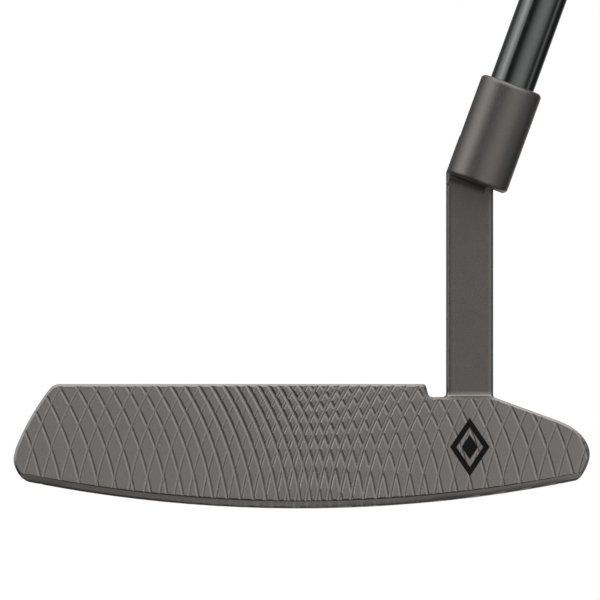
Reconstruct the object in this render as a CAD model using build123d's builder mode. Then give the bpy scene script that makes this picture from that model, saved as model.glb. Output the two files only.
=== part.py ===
from build123d import *

import os
from math import cos, radians, sin, tan

# A blade putter: a milled steel head with a plumber's neck, a black steel shaft and a pistol grip.
# Millimetres. X runs from toe to heel, Y away from the target (the face looks along -Y), Z is up.
# The origin is on the ground, under the middle of the face's leading edge.

# Whole club
CLUB_LENGTH = 889.0     # 35 in, along the shaft's axis from the ground to the butt
SHAFT_LEAN = 20.0       # from vertical, towards the heel (a lie angle of 70 degrees)
LOFT = 3.0              # the face leans back by this angle
AXIS_X = 11.5           # where the shaft's axis meets the ground
AXIS_Y = -4.7           # the axis runs half a shaft in front of the leading edge

# Head, front view
TOPLINE_Z = 25.8
TOPLINE_TOE_X = -50.5
TOPLINE_HEEL_X = 25.55
SHELF_Z = 23.1          # shelf that the neck stands on
SHELF_START_X = 26.26
SHELF_END_X = 39.7
SOLE_RADIUS = 288.0     # camber of the sole from toe to heel
SOLE_LOW_X = -0.6
TOE_CORNER = (-52.16, 24.83)   # where the toe's long curve meets the corner under the topline
TOE_TIP = (-59.12, 12.7)       # where it meets the curve that turns under
TOE_BOTTOM = (-55.3, 5.25)
HEEL_SHOULDER = (51.3, 18.87)  # end of the straight slope down from the neck
HEEL_BOTTOM = (54.5, 5.25)
NECK_SIDE_RADII = (0.65, 1.1, 4.0)   # at the topline's end, the shelf's start and its end

# Head, side view and plan
HEAD_DEPTH = 27.0
BAND_BOTTOM = (0.85, 0.55)     # Y and Z where the narrow band under the face ends
SOLE_FRONT = (1.7, 0.123)      # Y and Z of the sole's ends, front to back
SOLE_BACK = (25.0, 0.402)
PLAN_HALF_LENGTH = 60.0
PLAN_SWEEP_Y = 5.0      # behind this the ends sweep in
TRAILING_HALF = 36.0    # half length of the straight trailing edge
BLANK_MARGIN = 3.0      # by which a sketch that only cuts reaches past the metal
BLADE_THICKNESS = 6.5
CAVITY_FACE_THICKNESS = 5.0
BUMPER_FRONT_Z = 14.6   # tops of the toe and heel masses, where they meet the blade
FLANGE_FRONT_Z = 9.0    # top of the flange between them, where it meets the blade
BACK_SLOPE = 6.0        # degrees that both slope down towards the trailing edge
CAVITY_HALF_WIDTH = 22.5
CAVITY_HEIGHT = 11.5
CAVITY_SPLAY = 3.0      # its sides open by this much over PAST_BACK
CAVITY_CORNER = 3.0
FLANGE_FILLET = 1.2
PAD_LEFT_X = 27.6       # thicker part of the blade under the neck
PAD_RIGHT_X = 44.0
PAD_DEPTH = 4.4         # beyond the back of the blade
PAD_INNER_RADIUS = 2.6
PAD_OUTER_RADIUS = 1.2
PAST_ENDS = 70.0        # half length of the cuts that run out past both ends
PAST_BACK = 40.0        # how far back the cuts above the masses run
ROOT_FILLET = 1.5
RIM_FILLET = 1.0
TOP_BACK_CHAMFER = 0.4
EDGE_CHAMFER = 0.5

# Neck
COLUMN_X = 34.73
COLUMN_Y = 6.85
COLUMN_WIDTH = 9.68
COLUMN_DEPTH = 8.5
COLUMN_CORNER = 0.95
COLUMN_FOOT_FILLET = 0.8
WELD_Z = 24.2           # the column is welded on a short stub of the head
SPIGOT_RADIUS = 2.5
SPIGOT_LENGTH = 6.0
SPIGOT_END_GAP = 0.3    # left under it in its hole
SOCKET_RADIUS = 6.53
SOCKET_START = 71.7     # along the shaft's axis, from the ground
SOCKET_LENGTH = 21.65
SOCKET_FLOOR = 2.6
ELBOW_THICKNESS = 8.0
ELBOW_FILLET = 2.4
ELBOW_BACK_FILLET = 3.0
SOCKET_TOP_FILLET = 1.0
SOCKET_LIP_FILLET = 0.8

# Shaft, along its axis from the ground
TIP_RADIUS = 4.70       # 0.370 in parallel tip
BUTT_RADIUS = 7.37      # 0.580 in butt
TIP_WALL = 0.9
BUTT_WALL = 0.55
TAPER_START = 330.0
TAPER_END = 640.0
BOND_GAP = 0.06
BOND_FLOOR = 0.2        # epoxy under the shaft's end
BOND_BELOW_RIM = 0.25
PLUG_LENGTH = 9.0
PLUG_CHAMFER = 0.5

# Grip
GRIP_LENGTH = 267.0     # 10.5 in, with its cap
CAP_THICKNESS = 5.0
VENT_RADIUS = 1.5
TAPE_THICKNESS = 0.25
TAPE_BELOW_MOUTH = 4.0  # the tape starts this far inside the grip's mouth
CAP_FILLET = 1.6
# Height as a share of the grip, width, reach of the flat front, reach of the round back
GRIP_SECTIONS = (
    (0.0, 17.5, 8.0, 9.3),
    (0.12, 19.0, 8.7, 10.6),
    (0.5, 22.5, 9.6, 13.0),
    (0.8, 25.5, 10.2, 17.5),
    (1 - CAP_THICKNESS / GRIP_LENGTH, 26.5, 10.4, 17.5),
)

# Sole weights
WEIGHT_X = 41.0         # each side of the middle
WEIGHT_Y = 15.5
WEIGHT_RADIUS = 5.95
WEIGHT_THICKNESS = 3.0
SHANK_RADIUS = 2.47
SHANK_LENGTH = 4.6
WEIGHT_RECESS = 0.35    # outer face below the sole
RUNNING_GAP = 0.05
GASKET_THICKNESS = 0.4
GASKET_INSET = 0.3      # inside the screw's rim
WEIGHT_CHAMFER = 0.35
SHANK_CHAMFER = 0.4
HOLE_END_GAP = 0.5
NOTCH_TOE_X = -54.4     # narrow front-to-back grooves in the sole
NOTCH_HEEL_X = 53.6
NOTCH_LENGTH = 12.0     # back from the leading edge
NOTCH_WIDTH = 0.85
NOTCH_DEPTH = 0.27
WRENCH_ACROSS = 3.5     # hexagon socket, across flats
WRENCH_DEPTH = 2.2

# Face emblem and sight line
EMBLEM_X = 34.7
EMBLEM_Z = 12.8
EMBLEM_WIDTH = 8.2
EMBLEM_HEIGHT = 12.2
EMBLEM_STROKE = 1.35
EMBLEM_CORE = 0.42      # the solid core's size as a share of the outline's
EMBLEM_DEPTH = 0.35
SIGHT_WIDTH = 1.2
SIGHT_DEPTH = 0.5
SIGHT_START_Y = 10.5
SIGHT_END_Y = 25.5
PAINT_BELOW = 0.08      # paint lies this far below the metal around it

lean = radians(SHAFT_LEAN)
lean_back = tan(radians(LOFT))   # of the face, per millimetre of height
sole_centre_z = SOLE_RADIUS
across_shaft = Vector(cos(lean), 0, -sin(lean))
along_shaft = Vector(sin(lean), 0, cos(lean))
shaft_foot = Vector(AXIS_X, AXIS_Y, 0)
shaft_axis = Axis(shaft_foot, along_shaft)
# Square to the shaft, at the ground; its local X is across the shaft and its local Y is Y
across_plane = Plane(shaft_foot, x_dir=across_shaft, z_dir=along_shaft)
# Through the shaft's axis; its local X is the radius and its local Y runs up the shaft
section_plane = Plane(shaft_foot, x_dir=across_shaft, z_dir=(0, -1, 0))
face_plane = Plane(
    origin=(0, 0, 0), x_dir=(1, 0, 0), z_dir=(0, -cos(radians(LOFT)), sin(radians(LOFT)))
)
column_front_y = COLUMN_Y - COLUMN_DEPTH / 2
column_back_y = COLUMN_Y + COLUMN_DEPTH / 2
elbow_reach = column_back_y - AXIS_Y   # from the shaft's axis to the column's back
socket_plane = across_plane.offset(SOCKET_START)
shaft_start = SOCKET_START + SOCKET_FLOOR + BOND_FLOOR
shaft_end = CLUB_LENGTH - CAP_THICKNESS
grip_start = CLUB_LENGTH - GRIP_LENGTH
# Across the throat under the socket: local X runs forward from the column, local Y down it
throat_foot = socket_plane.origin + across_shaft * (
    (COLUMN_X - COLUMN_WIDTH / 2 + COLUMN_CORNER - socket_plane.origin.X) / cos(lean)
)
throat_plane = Plane(
    (throat_foot.X, column_front_y, throat_foot.Z),
    x_dir=(0, -1, 0),
    z_dir=across_shaft,
)
# Along the tops of the toe and heel masses, and along the top of the flange between them
back_plane = Plane(
    origin=(0, BLADE_THICKNESS + BUMPER_FRONT_Z * lean_back, BUMPER_FRONT_Z),
    x_dir=(1, 0, 0),
    z_dir=(0, sin(radians(BACK_SLOPE)), cos(radians(BACK_SLOPE))),
)
flange_plane = Plane(
    origin=(0, CAVITY_FACE_THICKNESS + FLANGE_FRONT_Z * lean_back, FLANGE_FRONT_Z),
    x_dir=(1, 0, 0),
    z_dir=(0, sin(radians(BACK_SLOPE)), cos(radians(BACK_SLOPE))),
)

os.makedirs("parts", exist_ok=True)


def finish(builder, name):
    """Label a finished piece and write its STEP file."""
    builder.part.label = name
    export_step(builder.part, f"parts/{name}.step")


def emblem_outline():
    """A lozenge ring with a solid lozenge inside, sketched flat in the face."""
    with Locations((EMBLEM_X, EMBLEM_Z / cos(radians(LOFT)))):
        Polygon(*lozenge(1.0), align=None)
        Polygon(*lozenge(1 - 2 * EMBLEM_STROKE / EMBLEM_WIDTH), align=None, mode=Mode.SUBTRACT)
        Polygon(*lozenge(EMBLEM_CORE), align=None)


def lozenge(scale):
    """Corners of an upright lozenge of the emblem's shape."""
    across = EMBLEM_WIDTH / 2 * scale
    up = EMBLEM_HEIGHT / 2 * scale
    return [(across, 0), (0, up), (-across, 0), (0, -up)]


def shaft_radius(s):
    """Outer radius of the shaft at a distance along its axis."""
    share = min(max((s - TAPER_START) / (TAPER_END - TAPER_START), 0), 1)
    return TIP_RADIUS + (BUTT_RADIUS - TIP_RADIUS) * share


def shaft_outline(low, high, layer):
    """Radius and height along the shaft from low to high, a layer's thickness outside it."""
    heights = [low, TAPER_END, high] if low < TAPER_END < high else [low, high]
    return [(shaft_radius(s) + layer, s) for s in heights]


def grip_section(height, width, front, back):
    """Section of the grip: flat towards the thumbs, round towards the palms."""
    side = 0.3 * width
    corner = width / 2 - side
    with BuildSketch(across_plane.offset(height)) as section:
        with BuildLine():
            Line((-front, -side), (-front, side))
            TangentArc((-front, side), (corner - front, width / 2), tangent=(0, 1))
            Spline([(corner - front, width / 2), (back, 0)], tangents=[(1, 0), (0, -1)])
            Spline([(back, 0), (corner - front, -width / 2)], tangents=[(0, -1), (-1, 0)])
            TangentArc((corner - front, -width / 2), (-front, -side), tangent=(-1, 0))
        make_face()
    return section.sketch


def sight_outline():
    """The sight line, sketched in the flange's plane."""
    with Locations((0, (SIGHT_START_Y + SIGHT_END_Y) / 2 - flange_plane.origin.Y)):
        SlotOverall(SIGHT_END_Y - SIGHT_START_Y, SIGHT_WIDTH, rotation=90)


def sole_plane(x, y):
    """The plane on the sole at x, looking down out of the sole."""
    tilt = (x - SOLE_LOW_X) / SOLE_RADIUS
    out = Vector(sin(tilt), 0, -cos(tilt))
    point = Vector(SOLE_LOW_X, y, sole_centre_z) + out * SOLE_RADIUS
    return Plane(point, x_dir=(0, 1, 0), z_dir=out)


# ---------------------------------------------------------------- head_body
with BuildPart() as head_body:
    # Front outline: straight topline and shelf, full toe, tapering heel, cambered sole
    with BuildSketch(Plane.XZ):
        with BuildLine():
            FilletPolyline(
                (TOPLINE_TOE_X, TOPLINE_Z),
                (TOPLINE_HEEL_X, TOPLINE_Z),
                (SHELF_START_X, SHELF_Z),
                (SHELF_END_X, SHELF_Z),
                HEEL_SHOULDER,
                radius=list(NECK_SIDE_RADII),
            )
            Spline(
                [HEEL_SHOULDER, (57.6, 15.45), (59.5, 11.1), (58.12, 7.35), HEEL_BOTTOM],
                tangents=[(HEEL_SHOULDER[0] - SHELF_END_X, HEEL_SHOULDER[1] - SHELF_Z), (-5.1, -1)],
            )
            Line(HEEL_BOTTOM, (HEEL_BOTTOM[0], -BLANK_MARGIN))
            Line((HEEL_BOTTOM[0], -BLANK_MARGIN), (TOE_BOTTOM[0], -BLANK_MARGIN))
            Line((TOE_BOTTOM[0], -BLANK_MARGIN), TOE_BOTTOM)
            Spline(
                [TOE_BOTTOM, (-58.6, 7.3), (-59.62, 10.1), TOE_TIP],
                tangents=[(-5.2, 1), (0.26, 1)],
            )
            ThreePointArc(TOE_TIP, (-56.38, 18.45), TOE_CORNER)
            TangentArc(TOE_CORNER, (TOPLINE_TOE_X, TOPLINE_Z), tangent=(0.62, 0.79))
        make_face()
    extrude(amount=-HEAD_DEPTH - BLANK_MARGIN)

    # Plan: ends square to the face at the front, swept in to a straight trailing edge
    with BuildSketch(Plane.XY.offset(-BLANK_MARGIN)):
        with BuildLine():
            Line((-PLAN_HALF_LENGTH, -BLANK_MARGIN), (PLAN_HALF_LENGTH, -BLANK_MARGIN))
            Line((PLAN_HALF_LENGTH, -BLANK_MARGIN), (PLAN_HALF_LENGTH, PLAN_SWEEP_Y))
            Spline(
                [(PLAN_HALF_LENGTH, PLAN_SWEEP_Y), (57.2, 14), (49, 22), (TRAILING_HALF, HEAD_DEPTH)],
                tangents=[(0, 1), (-1, 0)],
            )
            Line((TRAILING_HALF, HEAD_DEPTH), (-TRAILING_HALF, HEAD_DEPTH))
            Spline(
                [(-TRAILING_HALF, HEAD_DEPTH), (-49, 22), (-57.2, 14), (-PLAN_HALF_LENGTH, PLAN_SWEEP_Y)],
                tangents=[(-1, 0), (0, -1)],
            )
            Line((-PLAN_HALF_LENGTH, PLAN_SWEEP_Y), (-PLAN_HALF_LENGTH, -BLANK_MARGIN))
        make_face()
    extrude(amount=TOPLINE_Z + 2 * BLANK_MARGIN, mode=Mode.INTERSECT)

    # Sole: one section turned about the camber's centre, with a narrow band under the face
    with BuildSketch(Plane.YZ.offset(SOLE_LOW_X)):
        with BuildLine():
            Polyline((-1.5, sole_centre_z), (-1.5, 3.55), (0.5, 1.55), BAND_BOTTOM)
            ThreePointArc(BAND_BOTTOM, (1.12, 0.27), SOLE_FRONT)
            ThreePointArc(SOLE_FRONT, (10, 0), SOLE_BACK)
            Polyline(SOLE_BACK, (HEAD_DEPTH + 2, 3.4), (HEAD_DEPTH + 2, sole_centre_z))
            Line((HEAD_DEPTH + 2, sole_centre_z), (-1.5, sole_centre_z))
        make_face()
    revolve(
        axis=Axis((SOLE_LOW_X, 0, sole_centre_z), (0, 1, 0)),
        revolution_arc=360,
        mode=Mode.INTERSECT,
    )

    # Lofted face
    with BuildSketch(Plane.YZ.offset(-PAST_ENDS)):
        with BuildLine():
            Polyline((-3, -1), (-lean_back, -1), (30 * lean_back, 30), (-3, 30), close=True)
        make_face()
    extrude(amount=2 * PAST_ENDS, mode=Mode.SUBTRACT)

    # Chamfer round the face's edge; along the bottom the sole's own section makes it
    milled_face = head_body.faces().filter_by(face_plane).sort_by(SortBy.AREA)[-1]
    face_edges = milled_face.outer_wire().edges().sort_by(SortBy.LENGTH)
    chamfer(face_edges[:-1], length=EDGE_CHAMFER)

    # Back of the blade: milled away above the toe and heel masses, but for a pad under the neck
    with BuildSketch(back_plane):
        with BuildLine():
            FilletPolyline(
                (-PAST_ENDS, 0),
                (PAD_LEFT_X, 0),
                (PAD_LEFT_X, PAD_DEPTH),
                (PAD_RIGHT_X, PAD_DEPTH),
                (PAD_RIGHT_X, 0),
                (PAST_ENDS, 0),
                radius=[PAD_INNER_RADIUS, PAD_OUTER_RADIUS, PAD_OUTER_RADIUS, PAD_INNER_RADIUS],
            )
            Polyline((PAST_ENDS, 0), (PAST_ENDS, PAST_BACK), (-PAST_ENDS, PAST_BACK), (-PAST_ENDS, 0))
        make_face()
    extrude(amount=20, mode=Mode.SUBTRACT)
    blade_root = (
        head_body.edges(Select.LAST)
        .filter_by(lambda e: abs(back_plane.to_local_coords(e.center()).Z) < 0.01)
        .filter_by(lambda e: back_plane.to_local_coords(e.center()).Y < PAD_DEPTH + 0.1)
        .filter_by_position(Axis.X, -56, 56)
    )
    fillet(blade_root, radius=ROOT_FILLET)

    # Cavity between the toe and heel masses, down to the flange
    with BuildSketch(flange_plane):
        with BuildLine():
            FilletPolyline(
                (-CAVITY_HALF_WIDTH - CAVITY_SPLAY, PAST_BACK),
                (-CAVITY_HALF_WIDTH, 0),
                (CAVITY_HALF_WIDTH, 0),
                (CAVITY_HALF_WIDTH + CAVITY_SPLAY, PAST_BACK),
                radius=CAVITY_CORNER,
            )
            Line(
                (CAVITY_HALF_WIDTH + CAVITY_SPLAY, PAST_BACK),
                (-CAVITY_HALF_WIDTH - CAVITY_SPLAY, PAST_BACK),
            )
        make_face()
    extrude(amount=CAVITY_HEIGHT, mode=Mode.SUBTRACT)
    flange_root = (
        head_body.edges(Select.LAST)
        .filter_by(lambda e: abs(flange_plane.to_local_coords(e.center()).Z) < 0.01)
        .filter_by(lambda e: flange_plane.to_local_coords(e.center()).Y < 30)
        .filter_by(lambda e: e.center().Y < HEAD_DEPTH - 0.5)
    )
    fillet(flange_root, radius=FLANGE_FILLET)

    # Stub of the neck's column, spreading into the shelf, with a blind hole for the neck's spigot
    with BuildSketch(Plane.XY.offset(SHELF_Z - 4)):
        with Locations((COLUMN_X, COLUMN_Y)):
            RectangleRounded(COLUMN_WIDTH, COLUMN_DEPTH, COLUMN_CORNER)
    extrude(amount=WELD_Z - SHELF_Z + 4)
    column_foot = (
        head_body.edges(Select.LAST)
        .filter_by_position(Axis.Z, SHELF_Z - 1, SHELF_Z + 0.3)
        .filter_by_position(Axis.Y, column_front_y - 0.1, column_back_y + 0.1)
    )
    fillet(column_foot, radius=COLUMN_FOOT_FILLET)
    with Locations((COLUMN_X, COLUMN_Y, WELD_Z)):
        Hole(radius=SPIGOT_RADIUS, depth=SPIGOT_LENGTH)

    # Soft edges: rims of the toe and heel masses, and the back of the topline
    mass_rims = (
        head_body.edges()
        .filter_by(lambda e: abs(back_plane.to_local_coords(e.center()).Z) < 0.35)
        .filter_by(lambda e: e.length > 10)
        .filter_by_position(Axis.Y, 15, HEAD_DEPTH + 0.1)
    )
    fillet(mass_rims, radius=RIM_FILLET)
    top_back = (
        head_body.edges()
        .filter_by_position(Axis.Z, TOPLINE_Z - 0.05, TOPLINE_Z + 0.05)
        .filter_by_position(Axis.Y, BLADE_THICKNESS, HEAD_DEPTH)
        .sort_by(SortBy.LENGTH)[-1]
    )
    chamfer(top_back, length=TOP_BACK_CHAMFER)

    # Recess of the emblem in the face, and groove of the sight line in the flange
    with BuildSketch(face_plane):
        emblem_outline()
    extrude(amount=-EMBLEM_DEPTH, mode=Mode.SUBTRACT)
    with BuildSketch(flange_plane):
        sight_outline()
    extrude(amount=-SIGHT_DEPTH, mode=Mode.SUBTRACT)

    # Counterbored holes for the weight screws, and a short shallow groove in each end of the sole
    for x in (-WEIGHT_X, WEIGHT_X):
        with Locations(sole_plane(x, WEIGHT_Y)):
            CounterBoreHole(
                radius=SHANK_RADIUS + RUNNING_GAP,
                counter_bore_radius=WEIGHT_RADIUS + RUNNING_GAP,
                counter_bore_depth=WEIGHT_RECESS + WEIGHT_THICKNESS + GASKET_THICKNESS,
                depth=WEIGHT_RECESS + WEIGHT_THICKNESS + GASKET_THICKNESS + SHANK_LENGTH + HOLE_END_GAP,
            )
    for x in (NOTCH_TOE_X, NOTCH_HEEL_X):
        with BuildSketch(sole_plane(x, 0)):
            Rectangle(2 * NOTCH_LENGTH, NOTCH_WIDTH)
        extrude(amount=NOTCH_DEPTH, both=True, mode=Mode.SUBTRACT)

finish(head_body, "head_body")

# ---------------------------------------------------------------- emblem_paint_fill
with BuildPart() as emblem_paint_fill:
    with BuildSketch(face_plane.offset(-EMBLEM_DEPTH)):
        emblem_outline()
    extrude(amount=EMBLEM_DEPTH - PAINT_BELOW)

finish(emblem_paint_fill, "emblem_paint_fill")

# ---------------------------------------------------------------- sight_line_fill
with BuildPart() as sight_line_fill:
    with BuildSketch(flange_plane.offset(-SIGHT_DEPTH)):
        sight_outline()
    extrude(amount=SIGHT_DEPTH - PAINT_BELOW)

finish(sight_line_fill, "sight_line_fill")

# ---------------------------------------------------------------- plumber_neck
with BuildPart() as plumber_neck:
    # Column and its spigot, cut square to the shaft where the elbow begins
    with BuildSketch(Plane.XY.offset(WELD_Z)):
        with Locations((COLUMN_X, COLUMN_Y)):
            RectangleRounded(COLUMN_WIDTH, COLUMN_DEPTH, COLUMN_CORNER)
    extrude(amount=SOCKET_START - WELD_Z)
    with BuildSketch(socket_plane):
        Rectangle(SOCKET_START, SOCKET_START)
    extrude(amount=SOCKET_START, mode=Mode.SUBTRACT)
    with BuildSketch(Plane.XY.offset(WELD_Z)):
        with Locations((COLUMN_X, COLUMN_Y)):
            Circle(SPIGOT_RADIUS)
    extrude(amount=-SPIGOT_LENGTH + SPIGOT_END_GAP)
    # Elbow and socket, square to the shaft
    with BuildSketch(socket_plane):
        Circle(SOCKET_RADIUS)
        with Locations((0, elbow_reach / 2)):
            Rectangle(2 * SOCKET_RADIUS, elbow_reach)
    extrude(amount=ELBOW_THICKNESS)
    with BuildSketch(socket_plane):
        Circle(SOCKET_RADIUS)
    extrude(amount=SOCKET_LENGTH)
    back_edges = plumber_neck.edges().filter_by_position(
        Axis.Y, column_back_y - 0.01, column_back_y + 0.01
    )
    elbow_top = back_edges.filter_by(lambda e: e.tangent_at(0.5).Z ** 2 < 0.2).sort_by(Axis.Z)[-1]
    fillet(elbow_top, radius=ELBOW_BACK_FILLET)
    rim = plumber_neck.edges().filter_by(GeomType.CIRCLE).sort_by(shaft_axis)[-1]
    fillet(rim, radius=SOCKET_TOP_FILLET)
    lip = (
        plumber_neck.edges()
        .filter_by(GeomType.CIRCLE)
        .filter_by(lambda e: abs(socket_plane.to_local_coords(e.center()).Z) < 0.01)
    )
    fillet(lip, radius=SOCKET_LIP_FILLET)
    # Concave fillet between the column's front and the elbow's underside
    with BuildSketch(throat_plane):
        with BuildLine():
            Polyline((0, ELBOW_FILLET), (0, -0.5), (ELBOW_FILLET, -0.5), (ELBOW_FILLET, 0))
            RadiusArc((ELBOW_FILLET, 0), (0, ELBOW_FILLET), ELBOW_FILLET)
        make_face()
    extrude(amount=COLUMN_WIDTH - 2 * COLUMN_CORNER)
    # Blind bore for the shaft
    with BuildSketch(socket_plane.offset(SOCKET_FLOOR)):
        Circle(TIP_RADIUS + BOND_GAP)
    extrude(amount=SOCKET_LENGTH, mode=Mode.SUBTRACT)

finish(plumber_neck, "plumber_neck")

# ---------------------------------------------------------------- shaft
with BuildPart() as shaft:
    with BuildSketch(section_plane):
        with BuildLine():
            Polyline(
                (TIP_RADIUS, shaft_start),
                (TIP_RADIUS, TAPER_START),
                (BUTT_RADIUS, TAPER_END),
                (BUTT_RADIUS, shaft_end),
                (BUTT_RADIUS - BUTT_WALL, shaft_end),
                (BUTT_RADIUS - BUTT_WALL, TAPER_END),
                (TIP_RADIUS - TIP_WALL, TAPER_START),
                (TIP_RADIUS - TIP_WALL, shaft_start),
                close=True,
            )
        make_face()
    revolve(axis=shaft_axis, revolution_arc=360)

finish(shaft, "shaft")

# ---------------------------------------------------------------- shaft_bond
with BuildPart() as shaft_bond:
    with BuildSketch(across_plane.offset(shaft_start - BOND_FLOOR)):
        Circle(TIP_RADIUS + BOND_GAP)
    extrude(amount=SOCKET_LENGTH - SOCKET_FLOOR - BOND_BELOW_RIM)
    with BuildSketch(across_plane.offset(shaft_start)):
        Circle(TIP_RADIUS)
    extrude(amount=SOCKET_LENGTH, mode=Mode.SUBTRACT)

finish(shaft_bond, "shaft_bond")

# ---------------------------------------------------------------- shaft_tip_plug
with BuildPart() as shaft_tip_plug:
    with BuildSketch(across_plane.offset(shaft_start)):
        Circle(TIP_RADIUS - TIP_WALL)
    extrude(amount=PLUG_LENGTH)
    chamfer(shaft_tip_plug.edges().filter_by(GeomType.CIRCLE), length=PLUG_CHAMFER)

finish(shaft_tip_plug, "shaft_tip_plug")

# ---------------------------------------------------------------- grip_tape
with BuildPart() as grip_tape:
    with BuildSketch(section_plane):
        with BuildLine():
            Polyline(
                *shaft_outline(grip_start + TAPE_BELOW_MOUTH, shaft_end, 0),
                *reversed(shaft_outline(grip_start + TAPE_BELOW_MOUTH, shaft_end, TAPE_THICKNESS)),
                close=True,
            )
        make_face()
    revolve(axis=shaft_axis, revolution_arc=360)

finish(grip_tape, "grip_tape")

# ---------------------------------------------------------------- grip
with BuildPart() as grip:
    loft(
        [grip_section(grip_start + share * GRIP_LENGTH, *sizes) for share, *sizes in GRIP_SECTIONS]
    )
    with BuildSketch(section_plane):
        with BuildLine():
            Polyline(
                (0, grip_start - 1),
                *shaft_outline(grip_start - 1, shaft_end, TAPE_THICKNESS),
                (0, shaft_end),
                close=True,
            )
        make_face()
    revolve(axis=shaft_axis, revolution_arc=360, mode=Mode.SUBTRACT)

finish(grip, "grip")

# ---------------------------------------------------------------- grip_cap
with BuildPart() as grip_cap:
    extrude(grip_section(shaft_end, *GRIP_SECTIONS[-1][1:]), amount=CAP_THICKNESS)
    cap_rim = grip_cap.edges().group_by(shaft_axis)[-1]
    fillet(cap_rim, radius=CAP_FILLET)
    with BuildSketch(across_plane.offset(shaft_end - 1)):
        Circle(VENT_RADIUS)
    extrude(amount=CAP_THICKNESS + 2, mode=Mode.SUBTRACT)

finish(grip_cap, "grip_cap")

# ---------------------------------------------------------------- sole weights and their gaskets
for name, x in (("toe", -WEIGHT_X), ("heel", WEIGHT_X)):
    seat = sole_plane(x, WEIGHT_Y)
    with BuildPart() as weight:
        with BuildSketch(seat.offset(-WEIGHT_RECESS)):
            Circle(WEIGHT_RADIUS)
        extrude(amount=-WEIGHT_THICKNESS)
        chamfer(weight.edges().filter_by(GeomType.CIRCLE), length=WEIGHT_CHAMFER)
        with BuildSketch(seat.offset(-WEIGHT_RECESS - WEIGHT_THICKNESS)):
            Circle(SHANK_RADIUS)
        extrude(amount=-SHANK_LENGTH - GASKET_THICKNESS)
        tip = weight.edges().filter_by(GeomType.CIRCLE).sort_by(Axis.Z)[-1]
        chamfer(tip, length=SHANK_CHAMFER)
        with BuildSketch(seat.offset(-WEIGHT_RECESS)):
            RegularPolygon(WRENCH_ACROSS / 2, 6, major_radius=False)
        extrude(amount=-WRENCH_DEPTH, mode=Mode.SUBTRACT)
    finish(weight, f"{name}_weight")

    with BuildPart() as gasket:
        with BuildSketch(seat.offset(-WEIGHT_RECESS - WEIGHT_THICKNESS)):
            Circle(WEIGHT_RADIUS - GASKET_INSET)
            Circle(SHANK_RADIUS + RUNNING_GAP, mode=Mode.SUBTRACT)
        extrude(amount=-GASKET_THICKNESS)
    finish(gasket, f"{name}_weight_gasket")
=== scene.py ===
import math

import bmesh
import bpy
import numpy as np
from mathutils import Matrix, Vector


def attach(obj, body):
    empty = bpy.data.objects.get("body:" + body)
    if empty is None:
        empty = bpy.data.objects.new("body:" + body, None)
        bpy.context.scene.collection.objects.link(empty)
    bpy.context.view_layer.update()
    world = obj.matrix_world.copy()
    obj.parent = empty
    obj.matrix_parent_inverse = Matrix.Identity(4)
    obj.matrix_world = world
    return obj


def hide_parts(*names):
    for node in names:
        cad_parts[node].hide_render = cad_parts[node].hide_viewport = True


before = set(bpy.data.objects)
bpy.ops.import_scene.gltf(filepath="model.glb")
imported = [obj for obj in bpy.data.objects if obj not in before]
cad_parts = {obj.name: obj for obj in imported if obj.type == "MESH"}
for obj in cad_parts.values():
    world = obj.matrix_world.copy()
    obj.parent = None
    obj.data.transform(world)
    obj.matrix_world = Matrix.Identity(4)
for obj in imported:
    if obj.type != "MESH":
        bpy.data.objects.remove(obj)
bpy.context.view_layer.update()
MM = 0.001

# ---------------------------------------------------------------- places and sizes
# Plain lengths are in millimetres in the shared frame, in which the club stands on z = 0 with its
# face towards -Y and its toe towards -X
LOFT = math.radians(3.0)
LEAN = math.radians(20.0)   # of the shaft, from vertical towards the heel
SHAFT_FOOT = Vector((11.5, -4.7, 0)) * MM   # where the shaft's axis meets the ground
ALONG = Vector((math.sin(LEAN), 0, math.cos(LEAN)))
ACROSS = Vector((math.cos(LEAN), 0, -math.sin(LEAN)))
FACE_OUT = Vector((0, -math.cos(LOFT), math.sin(LOFT)))

# Milled pattern of the face: two mirrored families of arcs, with lines counted from the middle
ARC_RADIUS = 64.4
ARC_CENTRE_Z = -8.24
CROSSING_Z = 12.4       # the height where the two families cross in pairs
PATTERN_X = 1.34
LINES_EACH_SIDE = 19
LINE_SPACING = 2.098    # at the middle
SPACING_GROWTH = 0.054  # for each line further out
GROWTH_START = 2.295    # lines out, where the growth sets in
NOSE_RADIUS = 0.72      # of the cutter that leaves the grooves
NOSE_STEPS = 8
GROOVE_WIDTH = 0.73     # at both ends of the face
EXTRA_WIDTH = 0.35      # of the widest groove
WIDEST_LINE = -2
WIDE_LINES = 9          # each side of the widest, over which the extra width fades out
CUTTER_LOW = -1.5       # the cutters run past the face at both ends
CUTTER_HIGH = 28.0
CUTTER_STATIONS = 40
CUTTER_OUT = 0.6        # from the face to a cutter's flat back
CUTTER_BACK = 0.9       # half the back's width, as a share of the groove's

# Shaft: radii, and distances along its axis from its foot
TIP_RADIUS = 4.70
TIP_WALL = 0.90
BUTT_RADIUS = 7.37
BUTT_WALL = 0.55
SHAFT_START = 74.5
TAPER_START = 330.0
TAPER_END = 640.0
SHAFT_END = 884.0

# Grip and cap, along the shaft's axis
GRIP_START = 622.0
GRIP_LENGTH = 267.0
CAP_START = SHAFT_END
CAP_END = 889.0
TAPE_THICKNESS = 0.25
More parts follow.
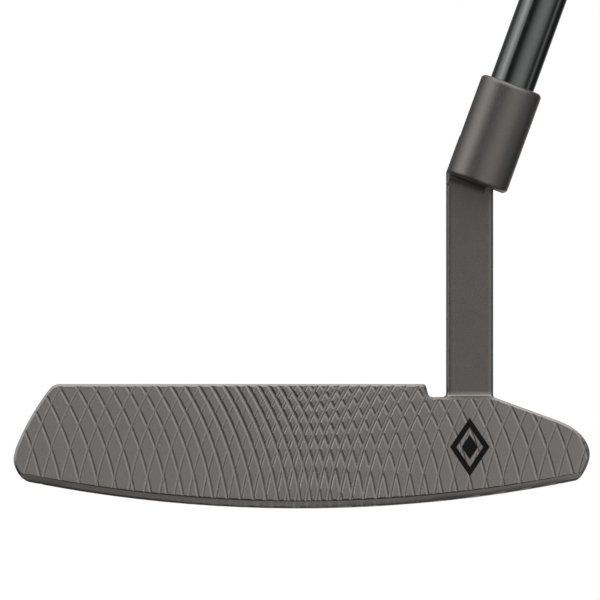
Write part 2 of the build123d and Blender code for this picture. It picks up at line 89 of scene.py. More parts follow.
# Share of the grip's length, width, reach of the flat front, reach of the round back
GRIP_SECTIONS = np.array((
    (0.0, 17.5, 8.0, 9.3),
    (0.12, 19.0, 8.7, 10.6),
    (0.5, 22.5, 9.6, 13.0),
    (0.8, 25.5, 10.2, 17.5),
    (0.981, 26.5, 10.4, 17.5),
))
FLAT_SHARE = 0.3        # half of the flat front, as a share of the width
GRIP_MOUTH = 1.2        # radius of the rounded lower end
SEAM_INSET = 0.3        # narrow step where the grip meets its cap
SEAM_START = 1.0        # below the cap
SEAM_SLOPE = 0.2
DASH_PITCH = 3.2        # moulded dashes of the grip's flat front
DASH_LENGTH = 1.9
DASH_DEPTH = 0.38
DASH_WALL = 0.12
DASH_COLUMNS = 9
DASH_HALF_FLOOR = 0.28  # half widths of a dash's floor and mouth, as shares of a column
DASH_HALF_MOUTH = 0.36
DASH_FIRST = 7.0        # from the grip's start to the first row
DASH_MARGINS = 12.0     # both plain ends of the grip together
CAP_RIM = 1.6
CAP_SEAM = 0.4
# Ring groove round the cap's top, as inset from the rim and depth, ending on the flat inside it
CAP_GROOVE = ((3.0, 0.0), (3.3, 0.5), (4.3, 0.5), (4.6, 0.0), (7.0, 0.0))
# Dished mouth of the cap's vent, as radius and depth
VENT_MOUTH = ((2.6, 0.0), (2.3, 0.35), (1.6, 0.5), (1.5, 0.8))
VENT_RADIUS = 1.5

# Sole weights: screws with their gaskets, measured from their seats on the sole
SOLE_RADIUS = 288.0
SOLE_LOW_X = -0.6
WEIGHT_Y = 15.5
WEIGHTS = (("toe", -41.0), ("heel", 41.0))
WEIGHT_RADIUS = 5.95
WEIGHT_RECESS = 0.35
WEIGHT_THICKNESS = 3.0
WEIGHT_CHAMFER = 0.35
RING_INNER = 3.9        # ring groove in the weight's face
RING_OUTER = 4.45
RING_SLOPE = 0.1
RING_DEPTH = 0.12
HEX_RADIUS = 2.02       # hexagonal socket, measured to its corners
HEX_DEPTH = 1.9
HEX_POINT = 2.6         # depth of the drill's cone under it
GASKET_THICKNESS = 0.4
GASKET_OUTER = 5.65
GASKET_INNER = 2.57
SHANK_LENGTH = 4.6
THREAD_RADIUS = 2.47
THREAD_DEPTH = 0.42
THREAD_PITCH = 0.8
THREAD_STEP = 0.1       # between the rings that the thread is made of
SHANK_POINT = 0.39      # length of the plain chamfer at the shank's end
SHANK_POINT_IN = 0.5


def face_point(x, z, out=0.0):
    """A point on the lofted face, out millimetres in front of it."""
    return (Vector((x, z * math.tan(LOFT), z)) + FACE_OUT * out) * MM


def line_offset(i):
    """Distance of groove i from the middle of the pattern; the spacing grows outwards."""
    return LINE_SPACING * i + SPACING_GROWTH * i * (math.hypot(i, GROWTH_START) - GROWTH_START)


def groove_width(i):
    """Widest a little before the middle of the pattern, then narrow out to the ends."""
    return GROOVE_WIDTH + EXTRA_WIDTH * max(0.0, 1 - ((i - WIDEST_LINE) / WIDE_LINES) ** 2)


def new_object(name, bm):
    """An object made of a finished bmesh."""
    mesh = bpy.data.meshes.new(name)
    bm.to_mesh(mesh)
    bm.free()
    piece = bpy.data.objects.new(name, mesh)
    bpy.context.scene.collection.objects.link(piece)
    return piece


def groove_cutters(name, side):
    """One family of grooves as closed swept tubes; side is 1 for lines that lean left going up."""
    bm = bmesh.new()
    chord = math.sqrt(ARC_RADIUS**2 - (CROSSING_Z - ARC_CENTRE_Z) ** 2)
    heights = np.linspace(CUTTER_LOW, CUTTER_HIGH, CUTTER_STATIONS)
    for i in range(-LINES_EACH_SIDE, LINES_EACH_SIDE + 1):
        middle = PATTERN_X + side * line_offset(abs(i)) * (1 if i >= 0 else -1)
        half = math.asin(groove_width(i) / 2 / NOSE_RADIUS)
        depth_of_centre = NOSE_RADIUS * math.cos(half)
        rings = []
        for z in heights:
            reach = math.sqrt(ARC_RADIUS**2 - (z - ARC_CENTRE_Z) ** 2)
            x = middle + side * (reach - chord)
            # unit direction across the line, in the face
            across = Vector((reach, 0, z - ARC_CENTRE_Z)).normalized()
            ring = []
            for k in range(NOSE_STEPS + 1):
                turn = half * (2 * k / NOSE_STEPS - 1)
                a = NOSE_RADIUS * math.sin(turn)
                d = depth_of_centre - NOSE_RADIUS * math.cos(turn)
                ring.append(bm.verts.new(face_point(x + side * a * across.x, z + a * across.z, d)))
            for a in (CUTTER_BACK * groove_width(i), -CUTTER_BACK * groove_width(i)):
                back = face_point(x + side * a * across.x, z + a * across.z, CUTTER_OUT)
                ring.append(bm.verts.new(back))
            rings.append(ring)
        for low, high in zip(rings, rings[1:]):
            for k in range(len(low)):
                n = (k + 1) % len(low)
                bm.faces.new((low[k], low[n], high[n], high[k]))
        bm.faces.new(rings[0])
        bm.faces.new(rings[-1])
    bmesh.ops.recalc_face_normals(bm, faces=bm.faces)
    return new_object(name, bm)


def cut_away(piece, cutter):
    """Takes a closed cutter's shape out of the piece, and removes the cutter."""
    cut = piece.modifiers.new("cut", "BOOLEAN")
    cut.operation = "DIFFERENCE"
    cut.solver = "MANIFOLD"
    cut.object = cutter
    graph = bpy.context.evaluated_depsgraph_get()
    mesh = bpy.data.meshes.new_from_object(piece.evaluated_get(graph))
    piece.modifiers.clear()
    piece.data = mesh
    bpy.data.objects.remove(cutter)


# ---------------------------------------------------------------- materials
# Grain and feature sizes are in millimetres, and so are the depths of bumps
NOISE_LOW = 0.3         # most of a noise texture's values lie between these
NOISE_HIGH = 0.7
STREAK_TOP = 2.2         # height up to which the head is lighter in streaks
STREAK_BOTTOM = 0.1      # height below which the streaks are not faded out
RING_LINES = 1.6        # lathe rings per millimetre, before the texture's own factor


def nodes_of(name):
    """A new material with its node tree and its shader."""
    material = bpy.data.materials.new(name)
    material.use_nodes = True
    tree = material.node_tree
    shader = tree.nodes["Principled BSDF"]
    return material, tree, shader


def feed(tree, socket, value):
    """Links a node's input to another socket, or sets it to a plain value."""
    if isinstance(value, bpy.types.NodeSocket):
        tree.links.new(value, socket)
    else:
        socket.default_value = value


def add(tree, kind, **values):
    """A node with its inputs fed by name; a name that isn't an input is a setting of the node."""
    node = tree.nodes.new(kind)
    for key, value in values.items():
        socket = node.inputs.get(key.replace("_", " "))
        if socket is None:
            setattr(node, key, value)
        else:
            feed(tree, socket, value)
    return node


def noise(tree, size, detail=3.0, stretch=(1, 1, 1)):
    """Noise with features of about size millimetres, squeezed along each axis by stretch."""
    place = add(tree, "ShaderNodeTexCoord").outputs["Object"]
    place = add(tree, "ShaderNodeMapping", Vector=place, Scale=stretch).outputs["Vector"]
    texture = add(tree, "ShaderNodeTexNoise", Vector=place, Scale=1 / (size * MM), Detail=detail)
    return texture.outputs["Fac"]


def ranged(tree, value, low, high):
    """A noise value spread over low to high."""
    node = add(tree, "ShaderNodeMapRange", Value=value)
    node.inputs["From Min"].default_value = NOISE_LOW
    node.inputs["From Max"].default_value = NOISE_HIGH
    node.inputs["To Min"].default_value = low
    node.inputs["To Max"].default_value = high
    return node.outputs["Result"]


def tinted(tree, value, dark, light):
    """A colour between dark and light, which may be colours or sockets."""
    node = add(tree, "ShaderNodeMix", data_type="RGBA")
    tree.links.new(value, node.inputs["Factor"])
    for name, colour in (("A", dark), ("B", light)):
        if isinstance(colour, bpy.types.NodeSocket):
            tree.links.new(colour, node.inputs[name])
        else:
            node.inputs[name].default_value = (*colour, 1)
    return node.outputs["Result"]


def scaled(colour, share):
    """A colour made lighter or darker."""
    return tuple(c * share for c in colour)


def bumped(tree, shader, height, depth, strength=1.0):
    """Bump of a height map depth millimetres deep; a second call adds to the first."""
    node = add(tree, "ShaderNodeBump", Strength=strength, Distance=depth * MM, Height=height)
    if shader.inputs["Normal"].is_linked:
        tree.links.new(shader.inputs["Normal"].links[0].from_socket, node.inputs["Normal"])
    tree.links.new(node.outputs["Normal"], shader.inputs["Normal"])


def blasted_steel(name, colour, roughness, grain, depth, streaked_low=False):
    """Bead-blasted steel under a thin grey coating: fine grain, soft sheen and, when asked, lighter streaks
    towards the bottom.
    """
    material, tree, shader = nodes_of(name)
    fine = noise(tree, grain)
    patches = tinted(tree, noise(tree, 9, 4.0), scaled(colour, 0.92), scaled(colour, 1.08))
    speckle = tinted(tree, ranged(tree, fine, 0, 1), scaled(colour, 0.80), scaled(colour, 1.22))
    tone = add(tree, "ShaderNodeMix", data_type="RGBA")
    tone.inputs["Factor"].default_value = 0.5
    tree.links.new(patches, tone.inputs["A"])
    tree.links.new(speckle, tone.inputs["B"])
    tone = tone.outputs["Result"]
    rough = ranged(tree, fine, roughness - 0.06, roughness + 0.06)
    # Lighter colour in streaks, fading out between 0.1 and 2.2 mm above the ground, which takes in the
    # sole's front band
    if streaked_low:
        height = add(tree, "ShaderNodeTexCoord").outputs["Object"]
        height = add(tree, "ShaderNodeSeparateXYZ", Vector=height).outputs["Z"]
        low_down = add(tree, "ShaderNodeMapRange", Value=height)
        low_down.inputs["From Min"].default_value = STREAK_TOP * MM
        low_down.inputs["From Max"].default_value = STREAK_BOTTOM * MM
        streaks = noise(tree, 6, 6.0, (9, 0.7, 1))
        mask = add(tree, "ShaderNodeMath", operation="MULTIPLY")
        tree.links.new(low_down.outputs["Result"], mask.inputs[0])
        tree.links.new(ranged(tree, streaks, -0.9, 1.2), mask.inputs[1])
        mask.use_clamp = True
        tone = tinted(tree, mask.outputs[0], tone, scaled(colour, 1.7))
    tree.links.new(tone, shader.inputs["Base Color"])
    tree.links.new(rough, shader.inputs["Roughness"])
    shader.inputs["Metallic"].default_value = 1.0
    bumped(tree, shader, fine, depth)
    return material


def moulded(name, dark, light, roughness, grain, depth, coat=0.0, metallic=0.0, shine=0.5):
    """Rubber, resin, enamel or paint: mottled colour, uneven roughness and a grain."""
    material, tree, shader = nodes_of(name)
    mottle = noise(tree, 14 * grain, 5.0)
    fine = noise(tree, grain, 2.0)
    tree.links.new(tinted(tree, ranged(tree, mottle, 0, 1), dark, light), shader.inputs["Base Color"])
    tree.links.new(ranged(tree, fine, roughness - 0.07, roughness + 0.07), shader.inputs["Roughness"])
    shader.inputs["Coat Weight"].default_value = coat
    shader.inputs["Metallic"].default_value = metallic
    shader.inputs["Coat Roughness"].default_value = 0.04
    shader.inputs["Specular IOR Level"].default_value = shine
    bumped(tree, shader, fine, depth)
    return material


def pebbled(name, dark, light, cell):
    """Moulded rubber with a pebble grain."""
    material, tree, shader = nodes_of(name)
    place = add(tree, "ShaderNodeTexCoord").outputs["Object"]
    pebbles = add(tree, "ShaderNodeTexVoronoi", Vector=place, Scale=1 / (cell * MM))
    tree.links.new(tinted(tree, noise(tree, 12, 5.0), dark, light), shader.inputs["Base Color"])
    tree.links.new(ranged(tree, noise(tree, 4, 4.0), 0.56, 0.74), shader.inputs["Roughness"])
    bumped(tree, shader, pebbles.outputs["Distance"], -0.09)
    bumped(tree, shader, noise(tree, 0.15), 0.01)
    return material


def turned_steel(name, colour):
    """Stainless steel with the fine rings of a lathe tool round the piece's own axis."""
    material, tree, shader = nodes_of(name)
    place = add(tree, "ShaderNodeTexCoord").outputs["Object"]
    rings = add(tree, "ShaderNodeTexWave", Vector=place, wave_type="RINGS", rings_direction="Z")
    rings.inputs["Scale"].default_value = RING_LINES / MM
    rings.inputs["Distortion"].default_value = 0.4
    ring = rings.outputs["Fac"]
    tone = tinted(tree, noise(tree, 3, 5.0), scaled(colour, 0.85), scaled(colour, 1.15))
    tree.links.new(tone, shader.inputs["Base Color"])
    tree.links.new(ranged(tree, ring, 0.24, 0.36), shader.inputs["Roughness"])
    shader.inputs["Metallic"].default_value = 1.0
    bumped(tree, shader, ring, 0.004)
    bumped(tree, shader, noise(tree, 0.3), 0.004)
    return material


def creped_tape(name, dark, light):
    """Paper tape with fine ridges across it."""
    material, tree, shader = nodes_of(name)
    ridges = noise(tree, 1.2, 3.0, (1, 1, 5))
    tree.links.new(tinted(tree, noise(tree, 6, 4.0), dark, light), shader.inputs["Base Color"])
    tree.links.new(ranged(tree, ridges, 0.7, 0.9), shader.inputs["Roughness"])
    bumped(tree, shader, ridges, 0.05)
    return material


head_steel = blasted_steel("head_steel", (0.30, 0.283, 0.268), 0.37, 0.24, 0.017, streaked_low=True)
neck_steel = blasted_steel("neck_steel", (0.198, 0.186, 0.177), 0.45, 0.26, 0.030)
black_paint = moulded(
    "black_paint", (0.125, 0.131, 0.128), (0.155, 0.161, 0.158), 0.11, 1.6, 0.002, coat=0.4, metallic=1.0
)
black_enamel = moulded(
    "black_enamel", (0.004, 0.004, 0.004), (0.009, 0.009, 0.009), 0.5, 0.3, 0.006, shine=0.15
)
white_enamel = moulded("white_enamel", (0.72, 0.72, 0.70), (0.84, 0.84, 0.82), 0.32, 0.4, 0.01, coat=0.4)
grip_rubber = pebbled("grip_rubber", (0.013, 0.013, 0.015), (0.026, 0.026, 0.028), 0.55)
cap_rubber = pebbled("cap_rubber", (0.02, 0.02, 0.021), (0.034, 0.034, 0.035), 0.32)
gasket_rubber = moulded("gasket_rubber", (0.012, 0.012, 0.012), (0.024, 0.024, 0.024), 0.6, 0.2, 0.01)
epoxy = moulded("epoxy", (0.26, 0.21, 0.13), (0.38, 0.32, 0.21), 0.25, 0.5, 0.02, coat=0.6)
plug_foam = pebbled("plug_foam", (0.42, 0.36, 0.26), (0.56, 0.50, 0.38), 0.4)
paper_tape = creped_tape("paper_tape", (0.52, 0.45, 0.31), (0.64, 0.57, 0.42))
weight_steel = turned_steel("weight_steel", (0.46, 0.45, 0.435))


# ---------------------------------------------------------------- turned and lofted pieces
def lofted(name, rings, closed):
    """A closed skin over rings of the same number of points; closed joins the last to the first."""
    bm = bmesh.new()
    rows = [[bm.verts.new(point) for point in ring] for ring in rings]
    pairs = list(zip(rows, rows[1:]))
    if closed:
        pairs.append((rows[-1], rows[0]))
    for low, high in pairs:
        for k in range(len(low)):
            n = (k + 1) % len(low)
            bm.faces.new((low[k], low[n], high[n], high[k]))
    bmesh.ops.remove_doubles(bm, verts=bm.verts, dist=1e-8)
    bmesh.ops.recalc_face_normals(bm, faces=bm.faces)
    return new_object(name, bm)


def circle(radius, height, count):
    """Points round the local Z axis."""
    turns = np.linspace(0, 2 * math.pi, count, endpoint=False)
    return [(radius * math.cos(a) * MM, radius * math.sin(a) * MM, height * MM) for a in turns]


def turned(name, profile, count, closed=True):
    """A lathe piece round its local Z, from (radius, height) points in millimetres."""
    return lofted(name, [circle(r, h, count) for r, h in profile], closed)


def shade(piece, degrees):
    """Smooth shading, with a sharp edge where two faces meet at more than this angle."""
    bm = bmesh.new()
    bm.from_mesh(piece.data)
    for face in bm.faces:
        face.smooth = True
    for edge in bm.edges:
        edge.smooth = len(edge.link_faces) == 2 and edge.calc_face_angle(0) < math.radians(degrees)
    bm.to_mesh(piece.data)
    bm.free()


def settle(piece, material, body, node):
    """Gives a piece its material and its body, and hides the CAD node that it stands for."""
    piece.data.materials.clear()
    piece.data.materials.append(material)
    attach(piece, body)
    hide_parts(node)


def stand(piece, origin, x_axis, z_axis):
    """Moves a piece made round its local Z to its place."""
    y_axis = z_axis.cross(x_axis)
    turn = Matrix((x_axis, y_axis, z_axis)).transposed().to_4x4()
    piece.matrix_world = Matrix.Translation(origin) @ turn
    bpy.context.view_layer.update()


# ---------------------------------------------------------------- head
def milled_head():
    """The head with its milled pattern cut in the face."""
    bm = bmesh.new()
    bm.from_mesh(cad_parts["head_body"].data)
    bmesh.ops.remove_doubles(bm, verts=bm.verts, dist=1e-7)
    piece = new_object("milled_head", bm)
    for name, side in (("grooves_left", 1), ("grooves_right", -1)):
        cut_away(piece, groove_cutters(name, side))
    shade(piece, 24)
    # The flat lands between the grooves
    for polygon in piece.data.polygons:
        if polygon.normal.dot(FACE_OUT) > 0.9999:
            polygon.use_smooth = False
    return piece


head = milled_head()
settle(head, head_steel, "club", "head_body")


# ---------------------------------------------------------------- shaft
def radius_of_shaft(s):
    """Outer radius at a distance along the shaft."""
    return float(np.interp(s, (TAPER_START, TAPER_END), (TIP_RADIUS, BUTT_RADIUS)))


shaft = turned("shaft_tube", (
    (TIP_RADIUS, SHAFT_START), (TIP_RADIUS, TAPER_START),
    (BUTT_RADIUS, TAPER_END), (BUTT_RADIUS, SHAFT_END),
    (BUTT_RADIUS - BUTT_WALL, SHAFT_END), (BUTT_RADIUS - BUTT_WALL, TAPER_END),
    (TIP_RADIUS - TIP_WALL, TAPER_START), (TIP_RADIUS - TIP_WALL, SHAFT_START),
), 144)
shade(shaft, 30)
stand(shaft, SHAFT_FOOT, ACROSS, ALONG)
settle(shaft, black_paint, "club", "shaft")


# ---------------------------------------------------------------- grip
# Smooth curves through the sections, one for each of the three sizes
GRIP_FITS = [np.polyfit(GRIP_SECTIONS[:, 0], GRIP_SECTIONS[:, k], 4) for k in (1, 2, 3)]


def grip_sizes(s):
    """Width, flat front's reach and round back's reach at a distance along the shaft."""
    share = min(max((s - GRIP_START) / GRIP_LENGTH, 0), GRIP_SECTIONS[-1, 0])
    return [float(np.polyval(fit, share)) for fit in GRIP_FITS]


def dash_edges():
    """Places across the flat front, from -1 to 1, with the column of the dash each is in, or None."""
    pitch = 2 / DASH_COLUMNS
    places = [(-1.0, None)]
    for column in range(DASH_COLUMNS):
        middle = -1 + pitch * (column + 0.5)
        places.append((middle - DASH_HALF_MOUTH * pitch, None))
        for offset in (-DASH_HALF_FLOOR, 0.0, DASH_HALF_FLOOR):
            places.append((middle + offset * pitch, column))
        places.append((middle + DASH_HALF_MOUTH * pitch, None))
    return places + [(1.0, None)]


def grip_ring(s, row=None, inset=0.0):
    """One ring of the grip's skin; in a row of dashes, every other dash is pressed in."""
    width, front, back = grip_sizes(s)
    side = FLAT_SHARE * width
    corner = width / 2 - side
    ring = []
    for place, column in dash_edges():
        pressed = row is not None and column is not None and (row + column) % 2 == 0
        ring.append((-front + (DASH_DEPTH if pressed else 0.0), place * side))
    for a in np.linspace(0, math.pi / 2, 9)[1:]:
        ring.append((corner - front - corner * math.cos(a), side + corner * math.sin(a)))
    for a in np.linspace(math.pi / 2, -math.pi / 2, 41)[1:]:
        ring.append((corner - front + (back + front - corner) * math.cos(a), width / 2 * math.sin(a)))
    for a in np.linspace(math.pi / 2, 0, 9)[1:-1]:
        ring.append((corner - front - corner * math.cos(a), -side - corner * math.sin(a)))
    shrink = 1 - 2 * inset / width
    return [(x * shrink * MM, y * shrink * MM, s * MM) for x, y in ring]


def round_ring(radius, s):
    """A circle whose points keep the directions of the grip's ring."""
    ring = []
    for x, y, _ in grip_ring(s):
        turn = math.atan2(y, x)
        ring.append((radius * math.cos(turn) * MM, radius * math.sin(turn) * MM, s * MM))
    return ring


def moulded_grip():
    """The grip: rounded mouth, dashed front, a step at the cap and the tape's bore."""
    rings = [
        grip_ring(GRIP_START + GRIP_MOUTH * (1 - math.cos(a)), inset=GRIP_MOUTH * (1 - math.sin(a)))
        for a in np.linspace(0, math.pi / 2, 6)
    ]
    rows = int((CAP_START - GRIP_START - DASH_MARGINS) / DASH_PITCH)
    for row in range(rows):
        start = GRIP_START + DASH_FIRST + row * DASH_PITCH
        rings.append(grip_ring(start))
        rings.append(grip_ring(start + DASH_WALL, row))
        rings.append(grip_ring(start + DASH_LENGTH, row))
        rings.append(grip_ring(start + DASH_LENGTH + DASH_WALL))
    rings.append(grip_ring(CAP_START - SEAM_START))
    rings.append(grip_ring(CAP_START - SEAM_START + SEAM_SLOPE, inset=SEAM_INSET))
    rings.append(grip_ring(CAP_START, inset=SEAM_INSET))
    for s in (CAP_START, TAPER_END, GRIP_START):
        rings.append(round_ring(radius_of_shaft(s) + TAPE_THICKNESS, s))
    return lofted("moulded_grip", rings, closed=True)


grip = moulded_grip()
shade(grip, 35)
stand(grip, SHAFT_FOOT, ACROSS, ALONG)
settle(grip, grip_rubber, "club", "grip")


def moulded_cap():
    """The butt cap: rounded rim, a ring groove round its top and a dished vent hole."""
    rings = [
        grip_ring(CAP_START, inset=SEAM_INSET),
        grip_ring(CAP_START + CAP_SEAM, inset=SEAM_INSET),
        grip_ring(CAP_START + CAP_SEAM + SEAM_SLOPE),
    ]
    for a in np.linspace(0, math.pi / 2, 8):
        height = CAP_END - CAP_RIM + CAP_RIM * math.sin(a)
        rings.append(grip_ring(height, inset=CAP_RIM * (1 - math.cos(a))))
    for inset, depth in CAP_GROOVE:
        rings.append([(x, y, (CAP_END - depth) * MM) for x, y, _ in grip_ring(CAP_END, inset=inset)])
    for radius, depth in VENT_MOUTH:
        rings.append(round_ring(radius, CAP_END - depth))
    rings.append(round_ring(VENT_RADIUS, CAP_START))
    return lofted("moulded_cap", rings, closed=True)


cap = moulded_cap()
shade(cap, 35)
stand(cap, SHAFT_FOOT, ACROSS, ALONG)
settle(cap, cap_rubber, "club", "grip_cap")


# ---------------------------------------------------------------- sole weights and gaskets
def thread_ring(depth, height, count):
    """A ring of the thread, depth millimetres under the weight's head; it runs in over one turn."""
    cut_depth = THREAD_DEPTH * min(1.0, depth / THREAD_PITCH)
    ring = []
    for k in range(count):
        turn = 2 * math.pi * k / count
        phase = (depth / THREAD_PITCH + k / count) % 1
        r = THREAD_RADIUS - cut_depth * abs(2 * phase - 1)
        ring.append((r * math.cos(turn) * MM, r * math.sin(turn) * MM, height * MM))
    return ring


def weight_screw(name):
    """Screw with local Z out of the sole: chamfered disc with a ring groove, and an M5 thread."""
    count = 96
    face = -WEIGHT_RECESS
    under = face - WEIGHT_THICKNESS
    end = under - SHANK_LENGTH - GASKET_THICKNESS
    disc = (
        (0, face), (RING_INNER, face), (RING_INNER + RING_SLOPE, face - RING_DEPTH),
        (RING_OUTER - RING_SLOPE, face - RING_DEPTH), (RING_OUTER, face),
        (WEIGHT_RADIUS - WEIGHT_CHAMFER, face), (WEIGHT_RADIUS, face - WEIGHT_CHAMFER),
        (WEIGHT_RADIUS, under + WEIGHT_CHAMFER), (WEIGHT_RADIUS - WEIGHT_CHAMFER, under),
    )
    rings = [circle(r, h, count) for r, h in disc]
    for depth in np.arange(0.0, under - end - SHANK_POINT, THREAD_STEP):
        rings.append(thread_ring(depth, under - depth, count))
    rings.append(circle(THREAD_RADIUS - SHANK_POINT_IN, end, count))
    rings.append(circle(0, end, count))
    screw = lofted(name, rings, closed=False)
    above = 1.0   # the cutter starts clear of the screw's face
    socket = ((0, above), (HEX_RADIUS, above), (HEX_RADIUS, face - HEX_DEPTH), (0, face - HEX_POINT))
    cut_away(screw, turned("socket_cutter", socket, 6, closed=False))
    return screw


def gasket_ring(name):
    """Flat rubber washer with rounded edges, under the disc of the screw."""
    middle = -WEIGHT_RECESS - WEIGHT_THICKNESS - GASKET_THICKNESS / 2
    half = GASKET_THICKNESS / 2
    profile = []
    for radius, side in ((GASKET_OUTER - half, 1), (GASKET_INNER + half, -1)):
        for a in np.linspace(math.pi / 2, -math.pi / 2, 7):
            profile.append((radius + side * half * math.cos(a), middle + side * half * math.sin(a)))
    return turned(name, profile, 72)


for end, x in WEIGHTS:
    tilt = (x - SOLE_LOW_X) / SOLE_RADIUS
    out = Vector((math.sin(tilt), 0, -math.cos(tilt)))
    seat = Vector((SOLE_LOW_X, WEIGHT_Y, SOLE_RADIUS)) * MM + out * SOLE_RADIUS * MM
    screw = weight_screw(end + "_screw")
    shade(screw, 28)
    stand(screw, seat, Vector((0, 1, 0)), out)
    settle(screw, weight_steel, end + "_screw", end + "_weight")
    washer = gasket_ring(end + "_washer")
    shade(washer, 40)
    stand(washer, seat, Vector((0, 1, 0)), out)
    settle(washer, gasket_rubber, end + "_gasket", end + "_weight_gasket")


# ---------------------------------------------------------------- materials of the CAD pieces that stay
for name, material in (
    ("plumber_neck", neck_steel),
    ("emblem_paint_fill", black_enamel),
    ("sight_line_fill", white_enamel),
    ("shaft_bond", epoxy),
    ("shaft_tip_plug", plug_foam),
    ("grip_tape", paper_tape),
):
    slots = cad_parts[name].data.materials
    slots.clear()
    slots.append(material)


# ---------------------------------------------------------------- stage, light, camera
STUDIO_LEVEL = 0.45
BRIGHTEST = 4.0         # a ramp holds brightness as a share of this, because a ramp ends at 1
# Heights on the world's sphere, from -1 below to 1 above, between which one light turns into the next
LOWER_TO_UPPER = (-0.30, 0.06)
UPPER_TO_CEILING = (0.55, 0.95)
LOWER_TO_GROUND = (-0.60, -0.95)
CEILING_GREY = (0.85, 0.85, 0.85, 1)   # before BRIGHTEST
GROUND_GREY = (0.05, 0.05, 0.05, 1)
# Brightness by the way round, in degrees; 0 is in front of the face and 90 is past the heel
UPPER_PANELS = (
    (-180, 0.6), (-128, 0.1), (-112, 0.8), (-94, 2.5), (-68, 2.9), (-56, 0.8), (-42, 0.1), (-22, 0.1),
    (-6, 1.0), (12, 1.7), (34, 2.0), (56, 1.2), (72, 1.5), (96, 0.25), (125, 0.1), (152, 0.3),
    (165, 3.5), (180, 2.0),
)
LOWER_PANELS = (
    (-180, 0.4), (-120, 0.05), (-60, 0.02), (-30, 0.05), (-8, 0.7), (12, 1.4), (30, 1.8), (52, 1.0),
    (66, 0.2), (80, 0.2), (90, 1.6), (97, 0.1), (130, 0.05), (150, 0.3), (163, 3.0), (180, 1.5),
)
FLOOR_SIZE = 6.0        # metres, as all lengths below are
FLOOR_Z = -0.0005       # just under the sole
LIGHT_AIM = (0, 0, 0.04)
FRAME_WIDTH = 0.124     # width of the view at the club
VIEW_CENTRE = Vector((-0.0004, 0, 0.0432))
LENS = 900.0            # millimetres: the view is from far away


def area_light(name, place, size, power):
    """A rectangular lamp that looks at the club."""
    data = bpy.data.lights.new(name, "AREA")
    data.shape = "RECTANGLE"
    data.size, data.size_y = size
    data.energy = power
    lamp = bpy.data.objects.new(name, data)
    lamp.location = place
    lamp.rotation_euler = (Vector(LIGHT_AIM) - Vector(place)).to_track_quat("-Z", "Y").to_euler()
    bpy.context.scene.collection.objects.link(lamp)


def panels_of_light(tree, round_way, panels):
    """A soft grey ramp over the way round, which runs from 0 to 1 for -180 to 180 degrees."""
    node = add(tree, "ShaderNodeValToRGB", Fac=round_way)
    ends = node.color_ramp.elements
    node.color_ramp.interpolation = "B_SPLINE"
    for k, (degrees, bright) in enumerate(panels):
        place = (degrees + 180) / 360
        if k >= len(ends):
            ends.new(place)
        ends[k].position = place
        ends[k].color = (bright / BRIGHTEST, bright / BRIGHTEST, bright / BRIGHTEST, 1)
    return node.outputs["Color"]


def math_node(tree, operation, *values):
    """A maths node's result; each value is a number or a socket."""
    node = add(tree, "ShaderNodeMath", operation=operation)
    for k, value in enumerate(values):
        feed(tree, node.inputs[k], value)
    return node.outputs[0]


def blended(tree, height, band, first, second):
    """The first colour up to a band of heights and the second past it, with a smooth change between."""
    step = add(tree, "ShaderNodeMapRange", Value=height, interpolation_type="SMOOTHSTEP")
    step.inputs["From Min"].default_value = band[0]
    step.inputs["From Max"].default_value = band[1]
    node = add(tree, "ShaderNodeMix", data_type="RGBA")
    feed(tree, node.inputs["Factor"], step.outputs["Result"])
    feed(tree, node.inputs["A"], first)
    feed(tree, node.inputs["B"], second)
    return node.outputs["Result"]


def camera_sees(tree, for_camera, for_others):
    """A shader that the camera sees as the first one, and every other ray as the second."""
    rays = add(tree, "ShaderNodeLightPath")
    mix = add(tree, "ShaderNodeMixShader")
    tree.links.new(rays.outputs["Is Camera Ray"], mix.inputs[0])
    tree.links.new(for_others, mix.inputs[1])
    tree.links.new(for_camera, mix.inputs[2])
    return mix.outputs[0]


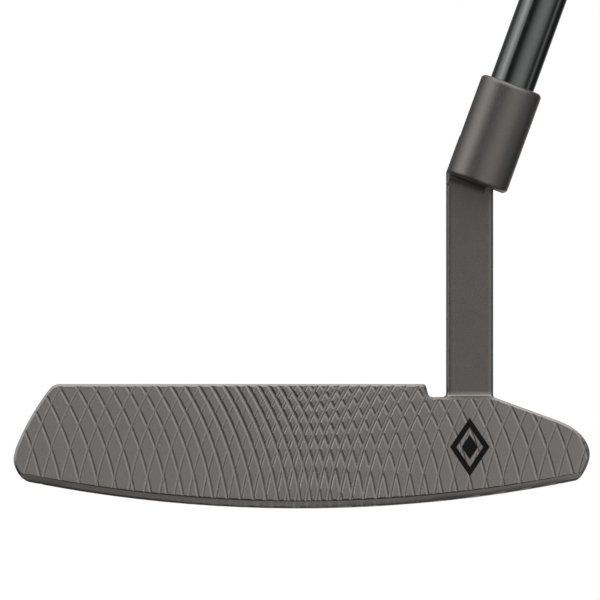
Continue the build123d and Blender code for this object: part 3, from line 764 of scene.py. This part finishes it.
# The floor is white to the camera, and clear to light and reflections
bm = bmesh.new()
bmesh.ops.create_grid(bm, x_segments=1, y_segments=1, size=FLOOR_SIZE)
floor = new_object("floor", bm)
floor.location.z = FLOOR_Z
material, tree, shader = nodes_of("pale_floor")
white = add(tree, "ShaderNodeEmission", Color=(1, 1, 1, 1), Strength=1.0).outputs[0]
clear = add(tree, "ShaderNodeBsdfTransparent").outputs[0]
tree.links.new(camera_sees(tree, white, clear), tree.nodes["Material Output"].inputs["Surface"])
floor.data.materials.append(material)

# The studio: two bands of light panels all round, a bright ceiling and a dark ground
world = bpy.data.worlds.new("studio")
bpy.context.scene.world = world
world.use_nodes = True
sky = world.node_tree
place = add(sky, "ShaderNodeTexCoord").outputs["Generated"]
split = add(sky, "ShaderNodeSeparateXYZ", Vector=place).outputs
round_way = math_node(sky, "ARCTAN2", split["X"], math_node(sky, "MULTIPLY", split["Y"], -1.0))
round_way = math_node(sky, "MULTIPLY_ADD", round_way, 1 / (2 * math.pi), 0.5)
upper = panels_of_light(sky, round_way, UPPER_PANELS)
lower = panels_of_light(sky, round_way, LOWER_PANELS)
light = blended(sky, split["Z"], LOWER_TO_UPPER, lower, upper)
light = blended(sky, split["Z"], UPPER_TO_CEILING, light, CEILING_GREY)
light = blended(sky, split["Z"], LOWER_TO_GROUND, light, GROUND_GREY)
lit = add(sky, "ShaderNodeBackground", Color=light, Strength=STUDIO_LEVEL * BRIGHTEST).outputs[0]
seen = add(sky, "ShaderNodeBackground", Color=(1, 1, 1, 1), Strength=1.0).outputs[0]
sky.links.new(camera_sees(sky, seen, lit), sky.nodes["World Output"].inputs["Surface"])

area_light("key_left", (-1.2, -0.6, 0.8), (1.0, 1.2), 2.0)
area_light("top_right", (0.8, -0.6, 1.0), (0.8, 0.8), 2.0)

camera = bpy.data.objects.new("camera", bpy.data.cameras.new("camera"))
bpy.context.scene.collection.objects.link(camera)
camera.data.lens = LENS
distance = FRAME_WIDTH / 2 * LENS / (camera.data.sensor_width / 2)
camera.location = VIEW_CENTRE + Vector((0, -distance, 0))
camera.rotation_euler = (math.radians(90), 0, 0)
camera.data.clip_start = 0.05
camera.data.clip_end = 100
bpy.context.scene.camera = camera
bpy.context.scene.view_settings.view_transform = "Standard"
